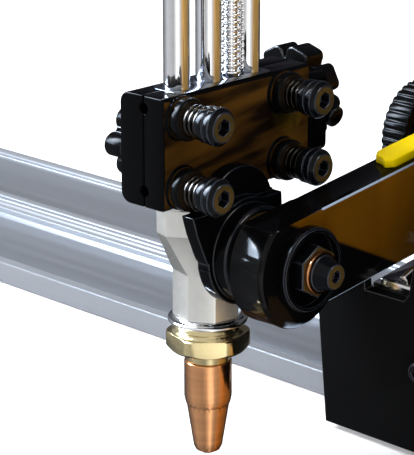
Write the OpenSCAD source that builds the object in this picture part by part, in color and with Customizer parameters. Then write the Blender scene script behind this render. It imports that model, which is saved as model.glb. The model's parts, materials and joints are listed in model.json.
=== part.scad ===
/* [Rail] */
// Length of the rail
rail_length = 820; // [740:10:1100]
// Width of the rail over its two outer ridges
rail_width = 98; // [94:1:104]
// Height of the outer ridges
rail_edge_h = 10.2; // [9.4:0.1:11]
// Height of the middle land
land_h = 12; // [11.4:0.1:12.6]
// Height of the channel floors that the wheels run on
channel_floor = 6; // [5:0.5:7]
// Length of rail ahead of the torch
rail_ahead = 360; // [300:5:400]
// Diameter of the pins that join two rails
joiner_pin_d = 4.2; // [3:0.1:4.4]
// Length that a joiner pin stands out
joiner_pin_out = 12; // [8:1:20]

/* [Carriage] */
// Distance from the torch plane to the carriage's near end
carriage_start = 13.3; // [12.8:0.1:16]
// Length of the carriage
carriage_length = 193; // [189:1:230]
// Half of the chassis width, up to the side plates
chassis_half_w = 63.2; // [62:0.2:70]
// Height of the underside of the chassis deck
deck_z = 40; // [39:0.5:42]
// Thickness of the chassis deck
deck_t = 8; // [6:0.5:9]
// Thickness of the side plates
plate_t = 4; // [3:0.5:6]
// Height of the lower edge of the side plates above the ground
plate_foot = 2.2; // [1:0.2:8]
// Wheel diameter
wheel_d = 28; // [26:0.5:30]
// Wheel width
wheel_w = 10; // [6:0.5:12]
// Distance of each wheel's middle from the middle of the rail
wheel_y = 21.5; // [20:0.5:22.5]
// Distance of the first axle from the carriage's near end
axle_inset = 37; // [34:1:44]
// Distance between the axles
wheelbase = 120; // [116:1:124]
// Axle diameter
axle_d = 8; // [6:0.5:9]
// Height of the top of the housing
housing_top = 150; // [140:1:180]
// Wall of the housing
housing_wall = 2.5; // [2:0.5:4]
// Diameter of the motor
motor_d = 42; // [36:1:46]

/* [Cross slide] */
// Distance from the hub to the middle of the rail
arm_reach = 107; // [104:1:112]
// Height of the arm's middle
arm_z = 87.5; // [86:0.5:92]
// Distance from the torch plane to the arm's rear face
arm_back_x = 29.5; // [29.2:0.1:31]
// Thickness of the arm
arm_t = 14.5; // [12:0.5:15.5]
// Height of the arm bar
arm_h = 34.3; // [33:0.1:36]
// Diameter of the arm's round hub end
hub_d = 43; // [40:0.5:44]
// Length of the arm behind the middle of the rail
arm_tail = 176; // [150:2:190]
// Running gap between the arm and its guide
slide_gap = 0.3; // [0.2:0.05:0.5]
// Module of the cross-feed gear teeth
feed_module = 1; // [0.9:0.1:1.1]
// Number of teeth on the cross-feed pinion
feed_teeth = 12; // [12:1:13]
// Diameter of the knurled cross-feed knob
feed_knob_d = 40; // [32:1:44]
// Thickness of the knurled cross-feed knob
feed_knob_t = 11; // [9:0.5:12]
// Number of grips around the cross-feed knob
feed_knob_grips = 36; // [24:2:48]
// Thickness of the yellow strip
strip_t = 3; // [2:0.5:4]
// Width of the yellow strip
strip_w = 10.4; // [8:0.2:11]

/* [Torch holder] */
// Lean of the torch towards the carriage at rest, in degrees
torch_tilt = 6.7; // [0:0.1:8]
// Diameter of the pivot bolt
pivot_d = 12; // [10:0.5:12.5]
// Diameter of the bevel disc
bevel_d = 34; // [32:0.5:38]
// Thickness of the bracket web
web_t = 5.5; // [4.6:0.1:5.8]
// Height of the clamp's upper face above the pivot
block_top = 57; // [55:0.5:62]
// Height of the clamp
block_h = 38.5; // [37:0.5:42]
// Depth of the front clamp half
front_half_t = 9.5; // [9:0.1:9.8]
// Depth of the rear clamp half
rear_half_t = 11; // [10:0.5:14]
// Diameter of a clamp screw's head
cap_head_d = 13; // [12:0.5:14]
// Diameter of a clamp screw's shank
clamp_shank_d = 4; // [3.6:0.1:4.1]

/* [Torch] */
// Diameter of the gas tubes
tube_d = 9; // [8:0.1:9.2]
// Length of the gas tubes above the clamp
tube_above = 118; // [100:2:160]
// Distance from the pivot to the nozzle tip
tip_drop = 80; // [77:0.5:82]
// Width of the torch head's eight-sided body across its flats
head_af = 23.4; // [21:0.1:23.4]
// Width of the brass nut across its flats
nut_af = 27; // [24:0.5:30]
// Diameter of the nozzle
nozzle_d = 17; // [15:0.5:19]
// Diameter of the toothed rack
rack_d = 7; // [6:0.1:7.2]
// Module of the rack's teeth
rack_module = 0.8; // [0.8:0.05:0.85]
// Number of teeth on the lift pinion
lift_teeth = 28; // [27:1:29]
// Diameter of the star knob over its lobes
star_knob_d = 35.6; // [33:0.2:39]
// Thickness of the star knob
star_knob_t = 10; // [8:0.5:12]

/* [Hidden] */
$fn = 64;

// Running clearance of a shaft in its bore, on the radius
run_gap = 0.05;
// Gap between pieces that pass each other
pass_gap = 0.3;
// Gap between a wheel and the channel floor
roll_gap = 0.1;
tiny = 0.01;

// Rail
rail_x0 = -rail_ahead;
rail_x1 = rail_length - rail_ahead;
ridge_w = 4;
ridge_step = 0.8;
land_half = 3.8;
joiner_y = 30;
joiner_pin_len = 20;
joiner_z = 3;
joiner_press_d = joiner_pin_d + 0.6;

// Carriage
cx0 = carriage_start;
cx1 = carriage_start + carriage_length;
front_axle_x = cx0 + axle_inset;
drive_axle_x = front_axle_x + wheelbase;
axle_z = channel_floor + roll_gap + wheel_d / 2;
hanger_y0 = 36;
hanger_y1 = 44;
hanger_half = 10;
deck_top = deck_z + deck_t;
skirt_t = 6;
skirt_z = 24;
housing_x0 = cx0 + 50;
plate_y = chassis_half_w;
notch_x0 = 36.1;
notch_x1 = 55.8;
notch_z = 61.8;
rod_x = 49.5;
plate_low_top = 66;
plate_top = 100;
screw_head_d = 8.5;
screw_head_h = 4;
screw_shank_d = 4.6;
panel_w = 92;
panel_t = 3;
board_t = 1.6;
board_drop = 22;
knob_u = -26;
switch_u = 22.5;
lamp_u = 37;
lamp_v = 8;
panel_x = (housing_x0 + cx1) / 2;
gear_y0 = 29.2;
gear_y1 = 33.2;
axle_gear_teeth = 24;
out_gear_teeth = 44;
drive_module = 1;
drive_slack = 0.4;
axle_gear_r = axle_gear_teeth * drive_module / 2;
out_gear_r = out_gear_teeth * drive_module / 2;
out_gear_z = axle_z + axle_gear_r + out_gear_r + drive_slack;
motor_z = out_gear_z + 24;
gearbox_half = 16;

// Cross slide
arm_x0 = arm_back_x;
arm_x1 = arm_back_x + arm_t;
arm_mid_x = (arm_x0 + arm_x1) / 2;
arm_top = arm_z + arm_h / 2;
arm_bottom = arm_z - arm_h / 2;
guide_x0 = 8;
guide_x1 = 62;
guide_y0 = 2;
guide_y1 = 52;
guide_wall = 8;
liner_t = 2;
guide_top = arm_top + strip_t + slide_gap + liner_t + guide_wall;
lock_y = guide_y1 - 8;
lock_z = arm_bottom + 5.7;
feed_r = feed_module * feed_teeth / 2;
feed_y = guide_y0 + 14.5;
feed_shaft_d = 8;
feed_mesh = 0.5;
rack_bar_t = 6;
rack_bar_h = 7.5;
rack_bar_x0 = arm_x0 - rack_bar_t;
rack_bar_y0 = -20;
rack_bar_y1 = arm_tail - 6;
rack_teeth_z = arm_z + feed_r + feed_module - feed_mesh;
strip_x0 = arm_x0 + 1.2;
strip_y0 = -56;
strip_y1 = arm_tail - 8;

// Torch group, measured from the pivot: along X, then across and up when upright
screw_left = -22.7;
spring_pitch = 2.1;
screw_right = 27.2;
screw_high = block_top - 7.4;
screw_low = block_top - 31.5;
block_left = -31;
block_right = 41.5;
ear_right = 57;
block_bottom = block_top - block_h;
split_gap = 0.25;
tubes_at = [-15.2, 0.2, 19.4];
rack_at = 11.2;
tube_r = tube_d / 2;
tube_gap = 0.15;
head_turn = -13;
web_x0 = head_af / 2 / cos(22.5) + 0.35;
web_x1 = web_x0 + web_t;
disc_x1 = arm_x0 - 4.8;
cap_x = arm_x1 + 4.6;
cap_r = 14.6;
lift_r = rack_module * lift_teeth / 2;
rack_r = rack_d / 2;
rack_pitch = PI * rack_module;
lift_mesh = 0.45;
lift_x = -(rack_r + lift_r + rack_module - lift_mesh);
lift_q = 39;
lift_shaft_d = 6;
knob_p = ear_right + pass_gap;
star_lobes = 8;
star_screw_angle = 17;
star_screw_r = 4;
bracket_screws_at = [-10, 10];
bracket_screw_q = block_bottom + 4.8;
bracket_seat = tube_r + 2.5;
lock_p = tubes_at[0];
lock_q = 34.8;
lock_knob_d = 24.4;
head_top = 15;
tube_top = block_top + tube_above;
valve_h = 26;
spigot_d = 8;
spigot_len = 10;

// Nozzle heights, measured up from its tip
nut_z0 = 40;
nut_h = 6.6;
nut_cone_h = 1.4;
nut_skirt_h = 4.2;
ring_z0 = nut_z0 + nut_h + nut_cone_h;
ring_h = 5;
head_base = ring_z0 + ring_h - tip_drop;
head_neck = -10;
head_shoulder = 5.5;
loft_lap = 1;
loft_inset = 0.1;

// Bar along X between two stations
module bar_x(x0, x1, r) {
  translate([x0, 0, 0]) rotate([0, 90, 0]) cylinder(h = x1 - x0, r = r);
}

// Bar along Y between two stations
module bar_y(y0, y1, r) {
  translate([0, y1, 0]) rotate([90, 0, 0]) cylinder(h = y1 - y0, r = r);
}

// Cone along X from one radius to another
module cone_x(x0, x1, r0, r1) {
  translate([x0, 0, 0]) rotate([0, 90, 0]) cylinder(h = x1 - x0, r1 = r0, r2 = r1);
}

// A shape drawn in Y and Z, drawn out along X
module along_x(x0, x1) {
  translate([x0, 0, 0]) rotate([90, 0, 90]) linear_extrude(x1 - x0) children();
}

// A shape drawn in X and Z, drawn out along Y
module along_y(y0, y1) {
  translate([0, y1, 0]) rotate([90, 0, 0]) linear_extrude(y1 - y0) children();
}

// Block between two corners
module block(low, high) {
  translate(low) cube(high - low);
}

// Flat rectangle with round corners between two corners
module round_rect(low, high, r) {
  translate([low[0] + r, low[1]]) square([high[0] - low[0] - 2 * r, high[1] - low[1]]);
  translate([low[0], low[1] + r]) square([high[0] - low[0], high[1] - low[1] - 2 * r]);
  for (x = [low[0] + r, high[0] - r], y = [low[1] + r, high[1] - r]) translate([x, y]) circle(r);
}

// Everything that leans with the torch, drawn upright around the pivot
module torch_frame() {
  translate([0, -arm_reach, arm_z]) rotate([-torch_tilt, 0, 0]) children();
}

// Flat gear with straight-sided teeth, one tooth on the X axis
module gear_flat(teeth, pitch_module, bore_r, slack = 0.12) {
  pitch_r = teeth * pitch_module / 2;
  step = 360 / teeth;
  root = pitch_r - 1.1 * pitch_module;
  tip = pitch_r + pitch_module;
  difference() {
    polygon([
      for (i = [0 : teeth - 1], k = [0 : 3])
        let (
          at = i * step + [-0.34, -0.14, 0.14, 0.34][k] * step * (1 - slack),
          r = [root, tip, tip, root][k]
        )
        [r * cos(at), r * sin(at)]
    ]);
    circle(bore_r);
  }
}

// Half of the rail's outline, from its middle to one side
function rail_half() = [
  [land_half, land_h], [land_half + 0.9, land_h - ridge_step], [7, land_h - ridge_step],
  [7, channel_floor + 2.6], [8.6, channel_floor + 0.7], [10.6, channel_floor],
  [rail_width / 2 - 15, channel_floor], [rail_width / 2 - 8, channel_floor + 0.8],
  [rail_width / 2 - 4.8, channel_floor + 2.2], [rail_width / 2 - 4.8, rail_edge_h - 0.5],
  [rail_width / 2 - ridge_w, rail_edge_h], [rail_width / 2 - 0.4, rail_edge_h],
  [rail_width / 2, rail_edge_h - 0.4], [rail_width / 2, 0]
];

module rail() {
  color("lightsteelblue")
    difference() {
      along_x(rail_x0, rail_x1)
        difference() {
          union() {
            polygon(concat(rail_half(), [[0, 0], [0, land_h]]));
            mirror([1, 0]) polygon(concat(rail_half(), [[0, 0], [0, land_h]]));
          }
          for (side = [-1, 1]) translate([side * 19, 0]) square([14, 3.6], center = true);
        }
      for (side = [-1, 1]) {
        translate([0, side * joiner_y, joiner_z]) bar_x(rail_x1 - joiner_pin_len, rail_x1 + 1, joiner_press_d / 2);
        translate([0, side * joiner_y, joiner_z]) bar_x(rail_x0 - 1, rail_x0 + joiner_pin_len, joiner_pin_d / 2 + run_gap);
      }
    }
}

module joiner_pins() {
  color("silver")
    for (side = [-1, 1])
      translate([0, side * joiner_y, joiner_z]) {
        bar_x(rail_x1 - joiner_pin_len, rail_x1, joiner_press_d / 2);
        bar_x(rail_x1 - tiny, rail_x1 + joiner_pin_out - 1.5, joiner_pin_d / 2);
        cone_x(rail_x1 + joiner_pin_out - 1.5, rail_x1 + joiner_pin_out, joiner_pin_d / 2, joiner_pin_d / 2 - 0.8);
      }
}

// Cast base: a deck with skirts and four axle hangers
module chassis() {
  color("dimgray")
    difference() {
      union() {
        block([cx0 + 0.7, -chassis_half_w, deck_z], [cx1, chassis_half_w, deck_top]);
        for (side = [-1, 1]) {
          block([cx0 + 0.7, min(side * chassis_half_w, side * (chassis_half_w - skirt_t)), skirt_z],
                [cx1, max(side * chassis_half_w, side * (chassis_half_w - skirt_t)), deck_z + tiny]);
          for (x = [front_axle_x, drive_axle_x])
            translate([x, 0, 0]) {
              along_y(min(side * hanger_y0, side * hanger_y1), max(side * hanger_y0, side * hanger_y1)) {
                translate([-hanger_half, axle_z]) square([2 * hanger_half, deck_z - axle_z + tiny]);
                translate([0, axle_z]) circle(hanger_half - 1);
              }
            }
        }
        block([cx0 + 0.7, guide_y0 - 4, deck_top - tiny], [guide_x1 - 1, guide_y1 + 4, guide_base()]);
      }
      for (side = [-1, 1], x = [front_axle_x, drive_axle_x])
        translate([x, side * (hanger_y0 + hanger_y1) / 2, axle_z])
          bar_y(-hanger_y1, hanger_y1, bearing_r());
      block([drive_axle_x - out_gear_r - 3, gear_y0 - 2, deck_z - 1], [drive_axle_x + out_gear_r + 3, gear_y1 + 2, deck_top + 1]);
      for (p = guide_screw_places()) translate([p[0], p[1], deck_z - 1]) cylinder(h = guide_base() - deck_z + 2, d = screw_shank_d);
      for (p = plate_screw_places(), side = [-1, 1])
        translate([p[0], side * chassis_half_w, p[1]]) bar_y(-12, 12, screw_shank_d / 2);
    }
}

function bearing_r() = axle_d / 2 + 3;
function guide_base() = arm_bottom - slide_gap - liner_t - guide_wall;
function guide_screw_places() = [for (x = [guide_x0 + 11, guide_x1 - 8], y = [guide_y0 + 5, guide_y1 - 5]) [x, y]];
function plate_screw_places() = [for (x = [cx0 + 47.4, cx1 - 14]) [x, (skirt_z + deck_z) / 2 + 5]];
function housing_screw_places() = [for (x = [housing_x0 + 12, cx1 - 12]) [x, 90]];

module axle_bearings() {
  color("silver")
    for (side = [-1, 1], x = [front_axle_x, drive_axle_x])
      translate([x, side * (hanger_y0 + hanger_y1) / 2, axle_z])
        difference() {
          bar_y(-3.5, 3.5, bearing_r());
          bar_y(-5, 5, axle_d / 2 + run_gap);
        }
}

// Front plate: low under the arm with a notch, high beside the housing
module front_plate() {
  color([0.09, 0.09, 0.1])
    difference() {
      along_y(-plate_y - plate_t, -plate_y)
        polygon([
          [cx0, plate_foot], [cx1, plate_foot], [cx1, plate_top], [notch_x1 + 9, plate_top],
          [notch_x1 + 3, plate_low_top + 12], [notch_x1, notch_z + 3], [notch_x1 - 2.4, notch_z],
          [notch_x0, notch_z], [notch_x0, plate_low_top], [cx0 + 17, plate_low_top], [cx0, plate_low_top - 8]
        ]);
      for (p = plate_screw_places()) translate([p[0], -plate_y, p[1]]) bar_y(-20, 20, screw_shank_d / 2 + 0.2);
      for (p = housing_screw_places()) translate([p[0], -plate_y, p[1]]) bar_y(-20, 20, screw_shank_d / 2 + 0.2);
    }
}

module rear_plate() {
  color([0.09, 0.09, 0.1])
    difference() {
      along_y(plate_y, plate_y + plate_t)
        polygon([
          [cx0, plate_foot + 12], [cx1, plate_foot + 12], [cx1, plate_top], [housing_x0 + 4, plate_top],
          [housing_x0 - 4, plate_low_top - 2], [cx0, plate_low_top - 2]
        ]);
      for (p = plate_screw_places()) translate([p[0], plate_y, p[1]]) bar_y(-20, 20, screw_shank_d / 2 + 0.2);
      for (p = housing_screw_places()) translate([p[0], plate_y, p[1]]) bar_y(-20, 20, screw_shank_d / 2 + 0.2);
    }
}

// Socket cap screw standing on a face, its head up
module cap_screw(head_d, head_h, shank_d, shank_len, socket_af) {
  difference() {
    union() {
      cylinder(h = head_h - 0.8, d = head_d);
      translate([0, 0, head_h - 0.8]) cylinder(h = 0.8, d1 = head_d, d2 = head_d - 1.6);
      translate([0, 0, -shank_len]) cylinder(h = shank_len + tiny, d = shank_d);
    }
    translate([0, 0, head_h * 0.45]) cylinder(h = head_h, d = socket_af / cos(30), $fn = 6);
  }
}

module body_screws() {
  color("silver") {
    for (p = plate_screw_places()) {
      translate([p[0], -plate_y - plate_t, p[1]]) rotate([90, 0, 0]) body_screw(10);
      translate([p[0], plate_y + plate_t, p[1]]) rotate([-90, 0, 0]) body_screw(10);
    }
    for (p = housing_screw_places()) {
      translate([p[0], -plate_y - plate_t, p[1]]) rotate([90, 0, 0]) body_screw(9);
      translate([p[0], plate_y + plate_t, p[1]]) rotate([-90, 0, 0]) body_screw(9);
    }
    for (p = guide_screw_places()) translate([p[0], p[1], guide_base() + 4]) body_screw(12);
  }
}

module body_screw(shank_len) {
  cap_screw(screw_head_d, screw_head_h, screw_shank_d - 0.1, shank_len, 4);
}

// Housing: a shell over the motor and gearbox, open below, with a sloped front top for the panel
module housing() {
  color([0.1, 0.1, 0.11])
    difference() {
      housing_form(0);
      difference() {
        housing_form(housing_wall);
        for (p = housing_screw_places(), side = [-1, 1])
          translate([p[0], side * (chassis_half_w - housing_wall - 2), p[1]]) bar_y(-2.2, 2.2, 6);
      }
      for (p = housing_screw_places(), side = [-1, 1])
        translate([p[0], side * chassis_half_w, p[1]]) bar_y(-9, 9, screw_shank_d / 2);
      panel_frame() {
        translate([0, 0, -8]) linear_extrude(16) round_rect([-panel_w / 2 + 6, -20], [panel_w / 2 - 6, 20], 3);
      }
      translate([cx1, clutch_y(), clutch_z()]) bar_x(-9, 9, 5 + run_gap);
      translate([cx1, 30, 84]) bar_x(-9, 9, 10.4);
      translate([cx1, -6, 84]) bar_x(-9, 9, 6.4);
      for (x = handle_x(), y = [0]) translate([x, y, housing_top - 9]) cylinder(h = 12, d = screw_shank_d);
      for (i = [0 : 5]) block([panel_x - 40, chassis_half_w - 10, 112 + i * 5], [panel_x + 40, chassis_half_w + 5, 114.4 + i * 5]);
    }
}

function clutch_y() = 0;
function clutch_z() = 116;
function handle_x() = [housing_x0 + 22, cx1 - 22];
slope_y = -chassis_half_w + 30;
slope_z = 104;

module housing_form(wall) {
  along_x(housing_x0 + wall, cx1 - wall)
    polygon([
      [-chassis_half_w + wall, wall > 0 ? deck_top - 1 : deck_top], [chassis_half_w - wall, wall > 0 ? deck_top - 1 : deck_top],
      [chassis_half_w - wall, housing_top - 8], [chassis_half_w - 8, housing_top - wall],
      [slope_y + wall * 0.5, housing_top - wall], [-chassis_half_w + wall, slope_z - wall * 0.3]
    ]);
}

// Place and lean of the control panel: X along the panel, Y up its slope, Z out of it
slope_angle = atan2(housing_top - slope_z, slope_y + chassis_half_w);
module panel_frame() {
  translate([panel_x, (slope_y - chassis_half_w) / 2, (slope_z + housing_top) / 2]) rotate([slope_angle, 0, 0]) children();
}

module control_panel() {
  color("gainsboro")
    panel_frame()
      difference() {
        linear_extrude(panel_t) round_rect([-panel_w / 2, -25], [panel_w / 2, 25], 3);
        translate([knob_u, 0, -1]) cylinder(h = panel_t + 2, d = 7);
        translate([switch_u - 6.5, -9.5, -1]) cube([13, 19, panel_t + 2]);
        translate([lamp_u, lamp_v, -1]) cylinder(h = panel_t + 2, d = 6.2);
      }
}

module power_lamp() {
  color("red")
    panel_frame() translate([lamp_u, lamp_v, 0]) {
      translate([0, 0, -6]) cylinder(h = 6 + panel_t, d = 6);
      translate([0, 0, panel_t]) cylinder(h = 1.2, d = 9);
      translate([0, 0, panel_t + 1.2]) intersection() {
        translate([0, 0, -1.2]) sphere(r = 3.6);
        cylinder(h = 4, d = 9);
      }
    }
}

module speed_knob() {
  color([0.12, 0.12, 0.13])
    panel_frame() translate([knob_u, 0, 0]) {
      translate([0, 0, panel_t + pass_gap])
        difference() {
          union() {
            linear_extrude(11)
              difference() {
                circle(r = 11);
                for (i = [0 : 17]) rotate(i * 20) translate([11.5, 0]) circle(r = 0.9);
              }
            translate([0, 0, 11]) cylinder(h = 1.2, r1 = 10, r2 = 9);
            cylinder(h = 2, r = 13);
          }
          translate([0, 5.5, 12.2]) cube([1.2, 9, 1.6], center = true);
        }
      translate([0, 0, -14]) cylinder(h = 14 + panel_t + pass_gap + tiny, r = 3.5 - run_gap);
    }
}

// Rocker that tips about a pin across the panel
module direction_switch() {
  color([0.14, 0.14, 0.15])
    panel_frame() translate([switch_u, 0, panel_t - 1]) rotate([90, 0, 90]) translate([0, 0, -5.8])
      linear_extrude(11.6)
        difference() {
          union() {
            translate([0, 0]) circle(r = 7.6);
            polygon([[-8.2, 1.5], [8.2, 1.5], [7.4, -4], [-7.4, -4]]);
          }
          translate([0, 15.6]) circle(r = 12);
        }
}

module circuit_board() {
  color("darkgreen")
    panel_frame() translate([0, 0, -board_drop]) {
      translate([-38, -18, 0]) cube([76, 36, board_t]);
      for (x = [-10, 3]) translate([x, -12, board_t - tiny]) cube([9, 12, 4]);
      translate([knob_u, 0, board_t - tiny]) cylinder(h = 6, d = 16);
      translate([switch_u - 6.5, -9.5, board_t - tiny]) cube([13, 19, board_drop - board_t - 5.9]);
      for (x = [-38, 34], y = [-18, 14]) translate([x, y, board_t - tiny]) cube([4, 4, board_drop - board_t + tiny]);
    }
}

module fuse_holder() {
  color([0.1, 0.1, 0.1])
    translate([0, -6, 84]) {
      bar_x(cx1 - 16, cx1, 6.1);
      bar_x(cx1, cx1 + 2, 8.5);
      difference() {
        bar_x(cx1 + 2 - tiny, cx1 + 9, 6.5);
        block([cx1 + 7.4, -8, -0.8], [cx1 + 10, 8, 0.8]);
      }
    }
}

module power_inlet() {
  color("silver")
    translate([0, 30, 84]) {
      bar_x(cx1 - 14, cx1, 10);
      bar_x(cx1, cx1 + 2.5, 14);
      difference() {
        bar_x(cx1 + 2.5 - tiny, cx1 + 15, 9.5);
        bar_x(cx1 + 4, cx1 + 16, 7.8);
      }
      for (a = [90, 210, 330]) rotate([a, 0, 0]) translate([0, 4, 0]) bar_x(cx1 + 4 - tiny, cx1 + 9, 1.1);
    }
}

module carry_handle() {
  color([0.08, 0.08, 0.09]) {
    for (x = handle_x()) {
      translate([x, 0, housing_top]) cylinder(h = 3, d = 20);
      translate([x, 0, housing_top + 3 - tiny]) cylinder(h = 29, d = 11);
      translate([x, 0, housing_top - 8]) cylinder(h = 8 + tiny, d = screw_shank_d - 0.1);
    }
    translate([0, 0, housing_top + 34]) {
      bar_x(handle_x()[0] - 12, handle_x()[1] + 12, 8.5);
      for (s = [0, 1]) translate([handle_x()[s] + (s == 0 ? -12 : 12), 0, 0]) sphere(r = 8.5);
    }
  }
}

module drive_motor() {
  color("slategray")
    translate([0, -12, motor_z]) {
      bar_x(housing_x0 + 12, drive_axle_x - gearbox_half, motor_d / 2);
      bar_x(housing_x0 + 7, housing_x0 + 12 + tiny, motor_d / 2 - 4);
      block([housing_x0 + 20, -15, deck_top - motor_z], [housing_x0 + 26, 15, -motor_d / 2 + 4]);
      block([drive_axle_x - 40, -15, deck_top - motor_z], [drive_axle_x - 34, 15, -motor_d / 2 + 4]);
    }
}

// Worm gearbox: a cast box with the output shaft's boss
module gearbox() {
  color("darkgray")
    difference() {
      union() {
        block([drive_axle_x - gearbox_half, -34, deck_top], [drive_axle_x + gearbox_half, 14, motor_z + 18]);
        block([drive_axle_x - 11, 14 - tiny, deck_top], [drive_axle_x + 11, gear_y0 - 2.4, out_gear_z + 11]);
      }
      translate([drive_axle_x, 0, out_gear_z]) bar_y(-2, 40, 5 + run_gap);
    }
}

module output_gear() {
  color("goldenrod")
    translate([drive_axle_x, 0, out_gear_z]) {
      along_y(gear_y0, gear_y1) rotate(-90 + 180 / out_gear_teeth) gear_flat(out_gear_teeth, drive_module, 4.9);
      bar_y(0, gear_y1 + 2, 5);
    }
}

// Pair of wheels pressed on one axle
module wheel_set(x) {
  translate([x, 0, axle_z]) {
    bar_y(-hanger_y1 - 1, hanger_y1 + 1, axle_d / 2);
    for (side = [-1, 1]) translate([0, side * wheel_y, 0]) {
      rotate([90, 0, 0]) rotate_extrude()
        polygon([
          [axle_d / 2 - 0.5, -wheel_w / 2], [8, -wheel_w / 2], [8.5, -wheel_w / 2 + 1.5], [wheel_d / 2 - 3, -wheel_w / 2 + 1.5],
          [wheel_d / 2 - 2, -wheel_w / 2], [wheel_d / 2 - 0.6, -wheel_w / 2], [wheel_d / 2, -wheel_w / 2 + 0.6],
          [wheel_d / 2, wheel_w / 2 - 0.6], [wheel_d / 2 - 0.6, wheel_w / 2], [wheel_d / 2 - 2, wheel_w / 2],
          [wheel_d / 2 - 3, wheel_w / 2 - 1.5], [8.5, wheel_w / 2 - 1.5], [8, wheel_w / 2], [axle_d / 2 - 0.5, wheel_w / 2]
        ]);
    }
  }
}

module drive_wheel_set() {
  color("gray") {
    wheel_set(drive_axle_x);
    translate([drive_axle_x, 0, axle_z])
      along_y(gear_y0, gear_y1) rotate(90) gear_flat(axle_gear_teeth, drive_module, axle_d / 2 - 0.5);
  }
}

module idler_wheel_set() {
  color("gray") wheel_set(front_axle_x);
}

// Clutch lever on the housing's far end
module clutch_lever() {
  color([0.75, 0.1, 0.08])
    translate([0, clutch_y(), clutch_z()]) {
      bar_x(cx1 - 12, cx1 + pass_gap + tiny, 5);
      bar_x(cx1 + pass_gap, cx1 + 9, 9);
      along_x(cx1 + 2.5, cx1 + 7.5) {
        translate([-4, 0]) square([8, 34]);
        translate([0, 34]) circle(r = 4);
      }
      translate([0, 0, 34]) bar_x(cx1 + 7.5 - tiny, cx1 + 18, 5);
    }
}

// Block that the arm slides through
module arm_guide() {
  color([0.12, 0.12, 0.13])
    difference() {
      union() {
        block([guide_x0, guide_y0, guide_base()], [guide_x1, guide_y1, guide_top]);
        translate([0, feed_y, arm_z]) bar_x(guide_x0 - 3, guide_x0 + tiny, 9);
      }
      block([arm_x0 - slide_gap, guide_y0 - 1, arm_bottom - slide_gap - liner_t],
            [arm_x1 + slide_gap, guide_y1 + 1, guide_top - guide_wall]);
      rack_space();
      translate([0, feed_y, arm_z]) bar_x(guide_x0 - 5, rack_bar_x0 + 1, feed_shaft_d / 2 + run_gap);
      translate([0, feed_y, arm_z]) bar_x(rack_bar_x0 - 0.5, arm_x0 - slide_gap, feed_r + feed_module + 0.6);
      translate([0, lock_y, lock_z]) bar_x(guide_x0 - 1, arm_x0, 3.1);
      for (p = guide_screw_places()) {
        translate([p[0], p[1], guide_base() - 1]) cylinder(h = 30, d = screw_shank_d + 0.2);
        translate([p[0], p[1], guide_base() + 4]) cylinder(h = 80, d = screw_head_d + 0.6);
      }
      translate([guide_x0, 0, guide_top]) rotate([0, 45, 0]) cube([7, 3 * guide_y1, 7], center = true);
    }
}

// Space through the guide for the rack bar
module rack_space() {
  block([rack_bar_x0 - pass_gap, guide_y0 - 1, rack_teeth_z - 1],
        [arm_x0, guide_y1 + 1, rack_teeth_z + rack_bar_h + feed_module * 2.2 + pass_gap]);
}

module guide_liners() {
  color("tan") {
    block([arm_x0, guide_y0, arm_bottom - slide_gap - liner_t], [arm_x1, guide_y1, arm_bottom - slide_gap]);
    block([arm_x0, guide_y0, guide_top - guide_wall - liner_t], [arm_x1, guide_y1, guide_top - guide_wall]);
  }
}

// Polished cradle under the arm, with a sloping rod, seen in the front plate's notch
module arm_cradle() {
  y0 = -plate_y + pass_gap;
  color("gainsboro") {
    block([cx0 + 20, y0, deck_top], [notch_x1, y0 + 26, notch_z - 1.2]);
    block([notch_x0 + 0.2, y0, notch_z - 1.2 - tiny], [notch_x1 - 2.8, y0 + 6, notch_z + 1.6]);
    block([notch_x0 + 3.6, y0, notch_z + 1.6 - tiny], [notch_x1 - 2.2, y0 + 24, notch_z + 4]);
    block([rod_x - 4, y0 + 20, notch_z - 1.2 - tiny], [rod_x + 4, y0 + 26, notch_z + 14]);
    translate([rod_x, y0 + 1, notch_z + 5]) rotate([-78, 0, 0]) cylinder(h = 23, r = 1.8);
  }
}

// Knurled knob on the guide's near side
module feed_knob() {
  color([0.1, 0.1, 0.11])
    translate([guide_x0 - 3 - pass_gap, feed_y, arm_z]) {
      difference() {
        along_x(-feed_knob_t, 0)
          difference() {
            circle(d = feed_knob_d, $fn = 96);
            for (i = [0 : feed_knob_grips - 1])
              rotate(i * 360 / feed_knob_grips) translate([feed_knob_d / 2 + 0.3, 0]) circle(r = 0.9, $fn = 16);
          }
        bar_x(-3, 1, feed_knob_d / 2 - 4.5);
        bar_x(-feed_knob_t - 1, -feed_knob_t + 2, feed_knob_d / 2 - 4.5);
        bar_x(-feed_knob_t - 1, 1, feed_shaft_d / 2);
      }
      difference() {
        bar_x(-feed_knob_t + 1, -tiny, 8);
        bar_x(-feed_knob_t - 1, 1, feed_shaft_d / 2);
      }
    }
}

module feed_pinion() {
  color("silver")
    translate([0, feed_y, arm_z]) {
      bar_x(guide_x0 - 3 - pass_gap - feed_knob_t + 1, rack_bar_x0 + tiny, feed_shaft_d / 2);
      along_x(rack_bar_x0, arm_x0 - slide_gap - 0.4) rotate(90) gear_flat(feed_teeth, feed_module, 0.5);
    }
}

// Small lobed knob whose stud presses on the arm's rear face
module arm_lock_knob() {
  color([0.1, 0.1, 0.11])
    translate([0, lock_y, lock_z]) {
      bar_x(guide_x0 - 4, arm_x0 - 0.4, 3);
      bar_x(guide_x0 - 4, guide_x0 - pass_gap, 5.5);
      along_x(guide_x0 - 14, guide_x0 - 3.5) lobed(5, 5.2, 3.2, 6, 20);
    }
}

// Star outline: a disc with round lobes, the first one at the given angle
module lobed(lobes, lobe_at, lobe_r, disc_r, first) {
  circle(disc_r);
  for (i = [0 : lobes - 1]) rotate(first + i * 360 / lobes) translate([lobe_at, 0]) circle(lobe_r);
}

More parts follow.
